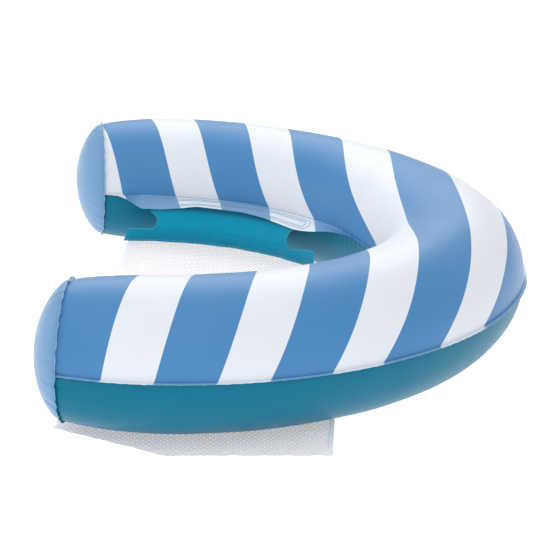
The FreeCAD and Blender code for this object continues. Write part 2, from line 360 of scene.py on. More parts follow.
class Link:
    """A node's output, with which shader maths is written as an expression."""

    def __init__(self, book: Book, socket: bpy.types.NodeSocket) -> None:
        """Wraps the output."""
        self.book = book
        self.socket = socket

    def math(self, operation: str, *others: object) -> "Link":
        """Adds a Math node on this and up to two other values."""
        values = {f"i{k}": value for k, value in enumerate((self, *others))}
        return self.book.node("ShaderNodeMath", {"operation": operation}, **values)

    def flipped(self, operation: str, other: object) -> "Link":
        """The same with this as the second value."""
        return self.book.node("ShaderNodeMath", {"operation": operation}, i0=other, i1=self)

    def __add__(self, other: object) -> "Link":
        """Sum."""
        return self.math("ADD", other)

    __radd__ = __add__

    def __sub__(self, other: object) -> "Link":
        """Difference."""
        return self.math("SUBTRACT", other)

    def __rsub__(self, other: object) -> "Link":
        """Difference from a number."""
        return self.flipped("SUBTRACT", other)

    def __mul__(self, other: object) -> "Link":
        """Product."""
        return self.math("MULTIPLY", other)

    __rmul__ = __mul__

    def __truediv__(self, other: object) -> "Link":
        """Quotient."""
        return self.math("DIVIDE", other)

    def __abs__(self) -> "Link":
        """Size without its sign."""
        return self.math("ABSOLUTE")

    def fract(self) -> "Link":
        """Part after the whole number."""
        return self.math("FRACT")

    def clamped(self) -> "Link":
        """Kept between 0 and 1."""
        return self.math("MAXIMUM", 0.0).math("MINIMUM", 1.0)

    def wave(self) -> "Link":
        """Sine of a full turn for each 1."""
        return (self * TURN).math("SINE")

    def axis(self, name: str) -> "Link":
        """One part, X, Y or Z, of a vector."""
        return self.book.node("ShaderNodeSeparateXYZ", i0=self, out=name)


def paint(red: int, green: int, blue: int) -> tuple[float, float, float, float]:
    """Linear colour of a display colour given from 0 to 255.

    Args:
        red: Red part.
        green: Green part.
        blue: Blue part.

    Returns:
        Red, green, blue and alpha, from 0 to 1.
    """
    def linear(part: int) -> float:
        """Linear value of one part."""
        share = part / 255.0
        return share / 12.92 if share <= 0.04045 else ((share + 0.055) / 1.055) ** 2.4

    return linear(red), linear(green), linear(blue), 1.0


# ---------------------------------------------------------------- finishes


@dataclass(frozen=True)
class VinylFilm:
    """Soft calendered vinyl: a satin skin with a fine grain and faint stretch marks."""

    name: str
    colour: tuple[float, float, float, float]
    shade: float = 0.94
    roughness: float = 0.42
    grain: float = 0.7 * MM
    grain_depth: float = 0.012 * MM
    swell: float = 26.0 * MM
    swell_depth: float = 0.35 * MM
    gloss: float = 0.24
    coat: float = 0.6

    def skin(self, book: Book, colour: object) -> bpy.types.Material:
        """Puts the colour under the film's gloss and relief.

        Args:
            book: The material being made.
            colour: Its colour, a value or a link.

        Returns:
            The material.
        """
        patches = book.noise(60.0 * MM, 2.0)
        shade = (self.shade, self.shade, self.shade, 1.0)
        darker = book.node("ShaderNodeMix", {"data_type": "RGBA", "blend_type": "MULTIPLY"}, out=2,
                           i0=patches, i6=colour, i7=shade)
        relief = book.bump(book.noise(self.swell, 1.0), self.swell_depth)
        fine = book.node("ShaderNodeBump", Strength=1.0, Distance=self.grain_depth,
                         Height=book.noise(self.grain, 2.0, 0.6), Normal=relief)
        book.set(Base_Color=darker, Roughness=patches * 0.10 + (self.roughness - 0.05), Normal=fine,
                 IOR=1.5, Specular_IOR_Level=self.gloss, Coat_Weight=self.coat, Coat_Roughness=0.4,
                 Coat_IOR=1.25)
        return book.material

    def material(self) -> bpy.types.Material:
        """The plain film."""
        return self.skin(Book(self.name), self.colour)


@dataclass(frozen=True)
class StripedFilm(VinylFilm):
    """The same film printed with straight bands before it is welded and blown up."""

    ground: tuple[float, float, float, float] = (1.0, 1.0, 1.0, 1.0)
    period: float = 0.168
    band: float = 0.091
    start: float = -0.083
    edge: float = 0.5 * MM
    # Pale tint on the seam fringes, the flange and the end rings: painted light, with some of the whitish
    # cast of welded film.
    haze: tuple[float, float, float, float] = paint(200, 231, 246)

    def material(self) -> bpy.types.Material:
        """The printed film, whose bands follow the stripe_run attribute, with a pale tint of painted light
        mixed in where a second attribute says.

        Returns:
            The material.
        """
        book = Book(self.name)
        run = (book.attribute("stripe_run") - (self.start + self.band / 2.0)) / self.period
        off_middle = abs((run + 0.5).fract() - 0.5) * self.period
        printed = ((self.band / 2.0 - off_middle) / self.edge + 0.5).clamped()
        banded = book.mix(printed, self.ground, self.colour)
        # The pale tint of painted light goes over the printed bands.
        return self.skin(book, book.mix(book.attribute("weld_haze"), banded, self.haze))


@dataclass(frozen=True)
class SkirtFilm(VinylFilm):
    """The same film on the sling's skirts, with painted shade: a darker tone under the flange and towards the
    lower edge.
    """

    # Colour of the painted shade.
    deep: tuple[float, float, float, float] = (0.0, 0.1, 0.18, 1.0)

    def material(self) -> bpy.types.Material:
        """The film, with painted shade from a mesh attribute mixed into its colour."""
        book = Book(self.name)
        return self.skin(book, book.mix(book.attribute("fold_shade"), self.colour, self.deep))


@dataclass(frozen=True)
class Netting:
    """Warp-knitted white net with diamond holes, laid out on the cloth attributes in metres."""

    name: str
    colour: tuple[float, float, float, float]
    cell: float = 8.5 * MM
    stretch: float = 1.6
    strand: float = 0.6
    open_cover: float = 0.55
    # The net glows a little: painted light that lifts it where it lies in shade.
    glow: float = 0.66
    roughness: float = 0.75

    def material(self) -> bpy.types.Material:
        """The net, with its holes see-through, its strands rounded, and a faint glow that is painted light.

        Returns:
            The material.
        """
        book = Book(self.name)
        across, along = book.attribute("cloth_across"), book.attribute("cloth_along") / self.stretch
        first = ((across + along) / self.cell).fract()
        second = ((across - along) / self.cell).fract()
        rise = abs(first - 0.5).math("MAXIMUM", abs(second - 0.5)) * 2.0
        thread = ((rise - (1.0 - self.strand)) * 9.0).clamped()
        twist = ((across * 2.0 + along * 6.0) / self.cell).wave() * 0.12
        tone = book.mix(thread * 0.7 + 0.3, paint(206, 210, 216), self.colour)
        cover = thread * (1.0 - self.open_cover) + self.open_cover
        # The emission is painted light.
        book.set(Base_Color=tone, Roughness=self.roughness, Alpha=cover, Emission_Color=self.colour,
                 Emission_Strength=self.glow, Normal=book.bump(thread + twist, 0.4 * MM))
        return book.material


@dataclass(frozen=True)
class WovenTape:
    """Flat woven binding tape."""

    name: str
    colour: tuple[float, float, float, float]
    pitch: float = 0.9 * MM
    # The tape glows a little: painted light that lifts it where it lies in shade.
    glow: float = 0.5

    def material(self) -> bpy.types.Material:
        """The tape, with its weave in relief and a faint glow that is painted light.

        Returns:
            The material.
        """
        book = Book(self.name)
        across, along = book.attribute("cloth_across"), book.attribute("cloth_along")
        weave = (across / self.pitch).wave() * (along / self.pitch).wave() * 0.5 + 0.5
        tone = book.mix(weave, paint(214, 219, 226), self.colour)
        book.set(Base_Color=tone, Roughness=0.8, Sheen_Weight=0.15, Normal=book.bump(weave, 0.15 * MM),
                 Emission_Color=self.colour, Emission_Strength=self.glow)
        return book.material


@dataclass(frozen=True)
class SoftMoulding:
    """Milky moulded vinyl of the air valve and the sewing thread's plain finish."""

    name: str
    colour: tuple[float, float, float, float]
    roughness: float = 0.35

    def material(self) -> bpy.types.Material:
        """The moulding, with a faint eroded texture.

        Returns:
            The material.
        """
        book = Book(self.name)
        cloud = book.noise(3.0 * MM)
        tone = book.mix(cloud, self.colour, tuple(part * 0.9 for part in self.colour[:3]) + (1.0,))
        book.set(Base_Color=tone, Roughness=cloud * 0.2 + (self.roughness - 0.1), Subsurface_Weight=0.15,
                 Subsurface_Scale=0.002, Normal=book.bump(book.noise(0.5 * MM), 0.02 * MM))
        return book.material


class Finishes:
    """The materials of the whole seat, each made once."""

    def __init__(self) -> None:
        """Makes them."""
        self.striped = StripedFilm("striped_film", paint(66, 128, 181),
                                   ground=paint(220, 224, 232)).material()
        self.teal = VinylFilm("teal_film", paint(0, 110, 139), gloss=0.06, coat=0.55).material()
        self.blue = VinylFilm("blue_film", paint(106, 150, 191)).material()
        # The skirt film's darker second colour is painted shade under the flange and towards the lower edge.
        self.skirt = SkirtFilm("skirt_film", paint(0, 145, 178), swell=40.0 * MM, swell_depth=0.8 * MM,
                               gloss=0.08, coat=0.3, deep=paint(0, 86, 116)).material()
        self.weld = VinylFilm("weld_line_film", paint(158, 180, 206), roughness=0.3).material()
        # The skirt's weld beads are a lighter teal than the skirt: real weld ridges with a painted highlight.
        self.rib = VinylFilm("skirt_weld_film", paint(70, 164, 190), roughness=0.28).material()
        self.net = Netting("knitted_net", paint(199, 195, 195)).material()
        self.tape = WovenTape("binding_tape", paint(208, 206, 207)).material()
        self.thread = SoftMoulding("sewing_thread", paint(232, 235, 240), roughness=0.6).material()
        self.clear = SoftMoulding("milky_moulding", paint(226, 232, 238)).material()


# ---------------------------------------------------------------- shape of the tube


@dataclass(frozen=True)
class TubeShape:
    """Centreline and thickness of the blown-up tube, and the flange along its inner seam."""

    nose_x: float
    seam_z: float
    arm_r: float = 112.0 * MM
    nose_swell: float = 3.7 * MM
    swell_start: float = 330.0 * MM
    swell_length: float = 500.0 * MM
    tip_pinch: float = 13.7 * MM
    pinch_length: float = 55.0 * MM
    nose_bend_r: float = 344.0 * MM
    nose_half_angle: float = math.radians(14.67)
    shoulder_bend_r: float = 481.0 * MM
    toe_in: float = math.radians(6.1)
    arm_straight: float = 60.0 * MM
    fringe: float = 5.5 * MM
    flange_width: float = 34.0 * MM

    @property
    def end_heading(self) -> float:
        """Heading of the arms' ends from the bend's."""
        return math.pi / 2.0 + self.toe_in

    @property
    def nose_arc(self) -> float:
        """Half the length of the bend's arc."""
        return self.nose_bend_r * self.nose_half_angle

    @property
    def shoulder_arc(self) -> float:
        """Length of one shoulder's arc."""
        return self.shoulder_bend_r * (self.end_heading - self.nose_half_angle)

    @property
    def half_length(self) -> float:
        """Distance from the middle of the bend to an arm's end."""
        return self.nose_arc + self.shoulder_arc + self.arm_straight

    def from_end(self, u: np.ndarray) -> np.ndarray:
        """Distance from the nearer arm's end."""
        return self.half_length - np.abs(u)

    def turn(self, u: np.ndarray) -> np.ndarray:
        """Heading at u, as an angle from the bend's.

        Args:
            u: Distances along the centreline.

        Returns:
            Angles, positive on the left arm.
        """
        along = np.abs(u)
        shoulder = self.nose_half_angle + (along - self.nose_arc) / self.shoulder_bend_r
        shoulder = np.minimum(shoulder, self.end_heading)
        turned = np.where(along <= self.nose_arc, along / self.nose_bend_r, shoulder)
        return np.sign(u) * turned

    def centre(self, u: np.ndarray) -> tuple[np.ndarray, np.ndarray]:
        """X and Y of the centreline.

        Args:
            u: Distances along the centreline.

        Returns:
            The X values and the Y values.
        """
        turned = np.abs(self.turn(u))
        alpha = self.nose_half_angle
        in_nose = np.abs(u) <= self.nose_arc
        bend = np.where(in_nose, self.nose_bend_r, self.shoulder_bend_r)
        extra = self.nose_bend_r - self.shoulder_bend_r
        x = bend * np.cos(turned) - self.nose_bend_r + np.where(in_nose, 0.0, extra * math.cos(alpha))
        y = bend * np.sin(turned) + np.where(in_nose, 0.0, extra * math.sin(alpha))
        straight = np.maximum(0.0, np.abs(u) - self.nose_arc - self.shoulder_arc)
        x = x - straight * np.sin(turned)
        y = y + straight * np.cos(turned)
        return self.nose_x + x, np.where(np.asarray(u) < 0.0, -1.0, 1.0) * y

    def radius(self, u: np.ndarray) -> np.ndarray:
        """Radius of the tube at u.

        Args:
            u: Distances along the centreline.

        Returns:
            Radii.
        """
        e = self.from_end(u)
        swell = smooth(e, self.swell_start, self.swell_start + self.swell_length)
        return self.arm_r - self.tip_pinch * np.exp(-e / self.pinch_length) + self.nose_swell * swell

    def at(self, u: np.ndarray, n: np.ndarray, z: np.ndarray) -> np.ndarray:
        """The points n outwards of the centreline and z above the seam.

        Args:
            u: Distances along the centreline.
            n: Distances outwards from the centreline.
            z: Heights above the seam.

        Returns:
            Points, with X, Y and Z on the last axis.
        """
        x, y = self.centre(u)
        turned = self.turn(u)
        parts = np.broadcast_arrays(x + n * np.cos(turned), y + n * np.sin(turned), self.seam_z + z)
        return np.stack(parts, -1)

    def flange_share(self, u: np.ndarray) -> np.ndarray:
        """1 where the sling's flange is widest, 0 where there is only a fringe."""
        e = self.from_end(u)
        return smooth(e, 14.0 * MM, 70.0 * MM) * (1.0 - smooth(e, 480.0 * MM, 660.0 * MM))

    def droop(self, u: np.ndarray) -> np.ndarray:
        """Angle at which the flange hangs, more at its ends than between them.

        Args:
            u: Distances along the centreline.

        Returns:
            Angles below the level.
        """
        e = self.from_end(u)
        middle = smooth(e, 110.0 * MM, 210.0 * MM) * (1.0 - smooth(e, 340.0 * MM, 470.0 * MM))
        return np.radians(27.0 - 17.0 * middle) * self.flange_share(u)

    def edge_wave(self, u: np.ndarray, out: np.ndarray) -> np.ndarray:
        """How far the flange's loose edge stands off its plane, out from the seam."""
        return (out / self.flange_width) ** 2 * self.flange_share(u) * 0.7 * MM * ripple(u, 96.0 * MM, 13)

    def on_flange(self, u: np.ndarray, out: np.ndarray, up: np.ndarray) -> tuple[np.ndarray, np.ndarray]:
        """n and z of a point on the flange, out from the seam and up from between its plies.

        Args:
            u: Distances along the centreline.
            out: Distances from the seam towards the flange's edge.
            up: Distances up from between its plies.

        Returns:
            The n values and the z values.
        """
        droop = self.droop(u)
        n = -self.radius(u) - out * np.cos(droop) - up * np.sin(droop)
        return n, -out * np.sin(droop) + up * np.cos(droop)


# ---------------------------------------------------------------- air tube


@dataclass
class ValveSeat:
    """Where the valve stands on the left arm, read from its CAD nodes."""

    centre: Vector
    axis: Vector

    def spread(self, points: np.ndarray) -> tuple[np.ndarray, np.ndarray]:
        """Distance from the valve's axis and the direction away from it, of each point.

        Args:
            points: Points, with X, Y and Z on the last axis.

        Returns:
            Distances, and unit vectors away from the axis.
        """
        away = points - np.array(self.centre)
        axis = np.array(self.axis)
        away = away - (away @ axis)[..., None] * axis
        distance = np.linalg.norm(away, axis=-1)
        return distance, away / np.maximum(distance, 1e-9)[..., None]


@dataclass
class AirTube:
    """The two vinyl panels of the tube, welded along the outer and inner seams."""

    shape: TubeShape
    seat: ValveSeat
    film: float = 0.4 * MM
    step: float = 4.0 * MM
    rows_round: int = 58
    outer_pucker: float = 0.55 * MM
    inner_pucker: float = 0.9 * MM
    end_gather: float = 1.3 * MM
    end_fringe: float = 4.5 * MM
    hole_r: float = 8.4 * MM
    valve_flange_r: float = 18.0 * MM
    flat_half_width: float = 0.176
    blue_run: float = -0.0375
    # Shares of a pale tint of painted light, with some whitish weld cast, on the seam fringes, the flange and
    # the end rings.
    fringe_haze: float = 0.32
    flange_haze: float = 0.18
    ring_haze: float = 0.6

    def skin_lift(self, u: np.ndarray, angle: np.ndarray) -> np.ndarray:
        """How far the film stands off a smooth tube, from its puckers and gathers.

        Args:
            u: Distances along the tube.
            angle: Angles round it, 0 at the outer seam and pi at the inner one.

        Returns:
            Heights outwards.
        """
        r = self.shape.radius(u)
        off_outer, off_inner = np.abs(angle) * r, (math.pi - np.abs(angle)) * r
        bend = smooth(self.shape.from_end(u), 350.0 * MM, 800.0 * MM)
        outer_fade, inner_fade = np.exp(-off_outer / (11.0 * MM)), np.exp(-off_inner / (15.0 * MM))
        lift = self.outer_pucker * (0.5 + 0.7 * bend) * outer_fade * ripple(u, 15.0 * MM, 3)
        lift += self.inner_pucker * (0.4 + 1.2 * bend) * inner_fade * ripple(u, 19.0 * MM, 5)
        near_end = np.exp(-self.shape.from_end(u) / (15.0 * MM))
        lift += self.end_gather * near_end * ripple(angle * r + u * 0.3, 17.0 * MM, 8)
        return lift + 0.35 * MM * ripple(u + 0.4 * angle * r, 140.0 * MM, 9)

    def stripe_run(self, u: np.ndarray, flat_n: np.ndarray) -> np.ndarray:
        """Where the printed bands lie: the run, along X, of the flat panel before it is blown up.

        Args:
            u: Distances along the tube.
            flat_n: Distances from the panel's middle line on the flat film, positive outwards.

        Returns:
            Runs from the middle of the bend.
        """
        x, _ = self.shape.centre(u)
        share = flat_n / self.flat_half_width
        outer_shift = 0.06 * np.abs(u)
        inner_shift = 8.0 * MM - 64.0 * MM * smooth(np.abs(u), 240.0 * MM, 870.0 * MM)
        shift = np.where(share > 0.0, outer_shift, -inner_shift) * share
        return x - self.shape.nose_x + flat_n * np.cos(self.shape.turn(u)) + shift

    def panel(self, half: Half) -> MeshMaker:
        """Mesh of one panel: fringe, half tube, inner flange, and half of each end's fringe.

        Args:
            half: Which panel.

        Returns:
            The mesh, not yet made into an object.
        """
        shape, sign = self.shape, half.value
        count = int(round(2.0 * shape.half_length / self.step))
        u = np.linspace(-shape.half_length, shape.half_length, count + 1)[:, None]
        r = shape.radius(u)
        rise = np.linspace(0.0, 1.0, self.rows_round)[None, :]
        angle = math.pi * (rise - 0.6 * np.sin(TURN * rise) / TURN)
        angle = np.clip(angle, 0.006, math.pi - 0.006)
        lift = self.skin_lift(u, angle)
        tube_n, tube_z = (r + lift) * np.cos(angle), sign * (r + lift) * np.sin(angle)
        back_n, back_z = (r + lift - self.film) * np.cos(angle), sign * (r + lift - self.film) * np.sin(angle)

        bend = smooth(shape.from_end(u), 400.0 * MM, 800.0 * MM)
        out = np.array([1.0, 0.7, 0.4, 0.12])[None, :] * shape.fringe
        frill = (out / shape.fringe) ** 1.5 * (0.5 + 0.7 * bend) * MM * ripple(u, 13.0 * MM, 11)
        fringe_n = r + out + 0.25 * MM * ripple(u, 9.0 * MM, 12)
        share = shape.flange_share(u)
        width = shape.fringe + (shape.flange_width - shape.fringe) * share
        reach = np.array([0.03, 0.2, 0.4, 0.6, 0.8, 0.93, 1.0])[None, :] * width
        frayed = (reach / width) ** 2 * (1.0 - share) * 0.5 * MM * ripple(u, 21.0 * MM, 14)
        loose = shape.edge_wave(u, reach) + frayed
        flange_out, flange_up = shape.on_flange(u, reach, sign * self.film + loose)
        under_out, under_up = shape.on_flange(u, reach, loose)

        outer_n = np.concatenate([fringe_n, tube_n, flange_out], 1)
        outer_z = np.concatenate([sign * self.film + frill, tube_z, flange_up], 1)
        inner_n = np.concatenate([fringe_n, back_n, under_out], 1)
        inner_z = np.concatenate([frill, back_z, under_up], 1)
        flat = np.concatenate([self.flat_half_width + out + 0.0 * u, r * (math.pi / 2.0 - angle),
                               -self.flat_half_width - reach], 1)
        outer, inner = shape.at(u, outer_n, outer_z), shape.at(u, inner_n, inner_z)
        keep = None
        if half is Half.TOP:
            outer, inner, keep = self.opened(outer, inner)
        maker = MeshMaker("tube_top_panel" if half is Half.TOP else "tube_bottom_panel")
        # Pale tint of painted light on the fringe and the flange.
        haze = np.concatenate([self.fringe_haze + 0.0 * fringe_n, 0.0 * tube_n,
                               self.flange_haze * share + 0.0 * reach], 1)
        maker.shell(outer, inner, keep=keep, stripe_run=self.stripe_run(u, flat), weld_haze=haze)
        for side in Side:
            self.end_ring(maker, side, sign)
        return maker

    def opened(self, outer: np.ndarray, inner: np.ndarray) -> tuple[np.ndarray, np.ndarray, np.ndarray]:
        """Raises the film over the valve's disc and opens a round hole for its collar.

        Args:
            outer: Points of the film's outside.
            inner: Points of its inside.

        Returns:
            The moved points of both sides, and which of the grid's faces stay.
        """
        distance, away = self.seat.spread(outer)
        from_seat = np.linalg.norm(outer - np.array(self.seat.centre), axis=-1)
        near = (distance < 2.0 * self.valve_flange_r) & (from_seat < 50.0 * MM)
        bulge = np.where(near, 1.0 - smooth(distance, 16.0 * MM, 20.0 * MM), 0.0)[..., None] * 0.5 * MM
        axis = np.array(self.seat.axis)
        inside = near & (distance < self.hole_r + 2.0 * MM)
        to_rim = np.where(inside, self.hole_r - distance, 0.0)[..., None] * away
        outer, inner = outer + bulge * axis + to_rim, inner + bulge * axis + to_rim
        corner = inside[:-1, :-1] & inside[1:, :-1] & inside[1:, 1:] & inside[:-1, 1:]
        return outer, inner, ~corner

    def end_ring(self, maker: MeshMaker, side: Side, sign: int) -> None:
        """Adds half of the fringe that stands round an arm's end, with its uneven edge.

        Args:
            maker: Mesh that it is added to.
            side: Which arm.
            sign: 1 for the top half, -1 for the bottom half.
        """
        shape = self.shape
        angle = np.linspace(0.0, math.pi, 150)[:, None]
        out = np.linspace(-0.4 * MM, self.end_fringe, 5)[None, :]
        end = side.value * shape.half_length
        r = shape.radius(end)
        sway = end_sway(angle * sign, out / self.end_fringe, r, side)
        n, z = (r + out) * np.cos(angle), sign * (r + out) * np.sin(angle)
        outer = shape.at(end, n, z) + along_axis(shape, side) * (sway - self.film)[..., None]
        inner = shape.at(end, n, z) + along_axis(shape, side) * sway[..., None]
        # The end ring takes a pale tint: painted light on a ribbon that sits in shade.
        maker.shell(outer, inner, stripe_run=np.full_like(n, self.blue_run),
                    weld_haze=np.full_like(n, self.ring_haze))

    def build(self, finishes: Finishes) -> list[bpy.types.Object]:
        """Makes and dresses both panels.

        Args:
            finishes: The seat's materials.

        Returns:
            Both panels.
        """
        top = finished(self.panel(Half.TOP).make(), finishes.striped, "striped_vinyl", "top_panel")
        bottom = finished(self.panel(Half.BOTTOM).make(), finishes.teal, "teal_vinyl", "bottom_panel")
        return [top, bottom]


def along_axis(shape: TubeShape, side: Side) -> np.ndarray:
    """Direction in which an arm points at its end."""
    turned = float(shape.turn(side.value * shape.half_length))
    return np.array([-math.sin(turned), math.cos(turned), 0.0]) * side.value


def end_sway(angle: np.ndarray, share: np.ndarray, r: float, side: Side) -> np.ndarray:
    """How far an end's fringe leans along the arm, the same for both of its plies.

    Args:
        angle: Angles round the tube.
        share: Shares of the fringe's width, from the weld (0) to its edge (1).
        r: The tube's radius there.
        side: Which arm.

    Returns:
        Distances along the arm.
    """
    seed = 21 if side is Side.LEFT else 31
    run = np.asarray(angle) * r
    lean = 1.1 * MM * ripple(run, 23.0 * MM, seed) + 0.5 * MM * ripple(run, 8.0 * MM, seed + 1)
    return np.clip(share, 0.0, 1.0) ** 1.3 * (lean - 1.5 * MM)


@dataclass
class EndCap:
    """Domed disc welded on an arm's end, gathered at its rim."""

    shape: TubeShape
    side: Side
    height: float = 44.0 * MM
    film: float = 0.4 * MM
    end_fringe: float = 4.5 * MM
    gather: float = 1.2 * MM

    def surface(self, angle: np.ndarray, rise: np.ndarray) -> tuple[np.ndarray, np.ndarray]:
        """Distance from the axis and height along it, of the dome from its rim (rise 0) to its top (1).

        Args:
            angle: Angles round the dome.
            rise: 0 at its rim to 1 at its top.

        Returns:
            Distances from the axis and heights along it.
        """
        r = float(self.shape.radius(self.side.value * self.shape.half_length))
        seed = 41 if self.side is Side.LEFT else 51
        tilt = rise * math.pi / 2.0
        off = r * np.cos(tilt)
        height = self.height * np.sin(tilt) ** 1.35
        folds = ripple(angle * r, 21.0 * MM, seed) + 0.4 * ripple(angle * r, 9.0 * MM, seed + 1)
        depth = self.gather * np.exp(-(r - off) / (13.0 * MM)) * smooth(rise, 0.0, 0.06)
        return off + depth * folds * 0.6, height + depth * folds

    def build(self, finishes: Finishes) -> bpy.types.Object:
        """Makes and dresses the cap.

        Args:
            finishes: The seat's materials.

        Returns:
            The cap.
        """
        shape, side = self.shape, self.side
        end = side.value * shape.half_length
        r = float(shape.radius(end))
        angle = np.linspace(0.0, TURN, 241)[:-1][:, None]
        out = np.array([1.0, 0.7, 0.4, 0.1])[None, :]
        signed = np.where(angle <= math.pi, angle, angle - TURN)
        sway = end_sway(signed, out, r, side) + 0.0 * angle
        rise = np.linspace(0.0, 1.0, 34)[None, :] ** 1.25
        off, height = self.surface(angle, rise)
        all_off = np.concatenate([r + out * self.end_fringe + 0.0 * angle, off], 1)
        all_height = np.concatenate([sway, height], 1)
        axis = along_axis(shape, side)
        flat = shape.at(end, all_off * np.cos(angle), all_off * np.sin(angle))
        outer = flat + axis * (all_height + self.film)[..., None]
        inner = flat + axis * all_height[..., None]
        maker = MeshMaker(f"{side.word}_arm_end_cap").shell(outer, inner, wrap=True)
        return finished(merged(maker.make()), finishes.blue, "blue_vinyl", f"{side.word}_end_cap")


# ---------------------------------------------------------------- sling


class PathTree:
    """Geometry Nodes trees that lay a profile or a row of small pieces along a path."""

    def __init__(self, name: str) -> None:
        """Starts a tree with a geometry input and output.

        Args:
            name: Name of the tree.
        """
        self.tree = bpy.data.node_groups.new(name, "GeometryNodeTree")
        self.tree.interface.new_socket("Geometry", in_out="OUTPUT", socket_type="NodeSocketGeometry")
        self.tree.interface.new_socket("Path", in_out="INPUT", socket_type="NodeSocketGeometry")
        self.start = self.tree.nodes.new("NodeGroupInput")
        self.end = self.tree.nodes.new("NodeGroupOutput")
        self.ids: dict[str, str] = {}

    def size(self, name: str, default: float) -> None:
        """Adds a named length input.

        Args:
            name: Name of the input.
            default: Its value.
        """
        item = self.tree.interface.new_socket(name, in_out="INPUT", socket_type="NodeSocketFloat")
        item.default_value = default
        self.ids[name] = item.identifier

    def node(self, kind: str, settings: Optional[dict] = None, **links: object) -> bpy.types.Node:
        """Adds a node with settings, values and links of its named inputs.

        Args:
            kind: The node's type.
            settings: Its own settings, which are set first.
            links: Values or links of its inputs, by name with _ for a space.

        Returns:
            The node.
        """
        made = self.tree.nodes.new(kind)
        for key, value in (settings or {}).items():
            setattr(made, key, value)
        for key, value in links.items():
            socket = made.inputs[key.replace("_", " ")]
            if isinstance(value, bpy.types.NodeSocket):
                self.tree.links.new(value, socket)
            else:
                socket.default_value = value
        return made

    def close(self, geometry: bpy.types.NodeSocket, material: bpy.types.Material) -> None:
        """Realizes what was laid and gives it its material.

        Args:
            geometry: Output that holds what was laid.
            material: Its material.
        """
        real = self.node("GeometryNodeRealizeInstances", Geometry=geometry)
        dressed = self.node("GeometryNodeSetMaterial", Geometry=real.outputs[0], Material=material)
        self.tree.links.new(dressed.outputs[0], self.end.inputs[0])

    @classmethod
    def bead(cls, radius: float, material: bpy.types.Material) -> "PathTree":
        """Tree that sweeps a small round bead along the path.

        Args:
            radius: Radius of the bead.
            material: Its material.

        Returns:
            The tree.
        """
        made = cls("bead_along_path")
        made.size("Bead Radius", radius)
        curve = made.node("GeometryNodeMeshToCurve", Mesh=made.start.outputs["Path"])
        ring = made.node("GeometryNodeCurvePrimitiveCircle", Resolution=6,
                         Radius=made.start.outputs["Bead Radius"])
        swept = made.node("GeometryNodeCurveToMesh", Curve=curve.outputs[0],
                          Profile_Curve=ring.outputs["Curve"], Fill_Caps=True)
        made.close(swept.outputs[0], material)
        return made

    @classmethod
    def stitches(cls, spacing: float, length: float, radius: float,
                 material: bpy.types.Material) -> "PathTree":
        """Tree that lays thread stitches end to end along the path.

        Args:
            spacing: Distance from one stitch to the next.
            length: Length of a stitch.
            radius: Radius of the thread.
            material: Its material.

        Returns:
            The tree.
        """
        made = cls("stitches_along_path")
        for name, value in (("Spacing", spacing), ("Stitch Length", length), ("Thread Radius", radius)):
            made.size(name, value)
        curve = made.node("GeometryNodeMeshToCurve", Mesh=made.start.outputs["Path"])
        spots = made.node("GeometryNodeResampleCurve", Curve=curve.outputs[0])
        if "Mode" in spots.inputs:
            spots.inputs["Mode"].default_value = "Length"
        else:
            spots.mode = "LENGTH"
        made.tree.links.new(made.start.outputs["Spacing"], spots.inputs["Length"])
        thread = made.node("GeometryNodeMeshCylinder", Vertices=6, Radius=made.start.outputs["Thread Radius"],
                           Depth=made.start.outputs["Stitch Length"])
        heading = made.node("GeometryNodeInputTangent")
        turned = made.node("FunctionNodeAlignRotationToVector", {"axis": "Z"}, Vector=heading.outputs[0])
        laid = made.node("GeometryNodeInstanceOnPoints", Points=spots.outputs[0],
                         Instance=thread.outputs["Mesh"], Rotation=turned.outputs[0])
        made.close(laid.outputs[0], material)
        return made

    def along(self, name: str, lines: Sequence[np.ndarray], closed: bool = False) -> bpy.types.Object:
        """Runs the tree along some lines.

        Args:
            name: Name of the piece.
            lines: Points of each line.
            closed: Whether each line is a loop.

        Returns:
            The piece, as a plain mesh.
        """
        points, edges = [], []
        for line in lines:
            first = len(points)
            points += [tuple(p) for p in line]
            edges += [(first + k, first + k + 1) for k in range(len(line) - 1)]
            if closed:
                edges.append((first + len(line) - 1, first))
        path = bpy.data.meshes.new(name + "_path")
        path.from_pydata(points, edges, [])
        made = bpy.data.objects.new(name, path)
        bpy.context.scene.collection.objects.link(made)
        modifier = made.modifiers.new("lay", "NODES")
        modifier.node_group = self.tree
        mesh = bpy.data.meshes.new_from_object(made.evaluated_get(bpy.context.evaluated_depsgraph_get()))
        made.modifiers.clear()
        made.data = mesh
        mesh.name = name
        return made


@dataclass(frozen=True)
class Scoop:
    """Round-ended notch in an end of the skirt.

    Its centre is at e from the arm's end and at depth below the seam. Its round edge faces the skirt:
    towards is 1 where the skirt lies farther from the arm's end than the notch, and -1 where it lies
    nearer.
    """

    e: float
    depth: float
    r: float
    towards: float

    def edge(self, depth: np.ndarray) -> np.ndarray:
        """Where the skirt starts beside the notch at a depth, as a distance from the arm's end.

        Args:
            depth: Depths below the seam.

        Returns:
            Distances from the arm's end.
        """
        off = np.asarray(depth, float) - self.depth
        inside = np.sqrt(np.maximum(self.r ** 2 - off ** 2, 0.0))
        above = 0.8 * np.maximum(-self.r - off, 0.0)
        return self.e + self.towards * (inside - above)

    def rim(self) -> tuple[np.ndarray, np.ndarray]:
        """Distances and depths along the notch's round edge, from its top to its bottom."""
        angle = np.linspace(-math.pi / 2.0, math.pi / 2.0, 25)
        return self.e + self.towards * self.r * np.cos(angle), self.depth + self.r * np.sin(angle)


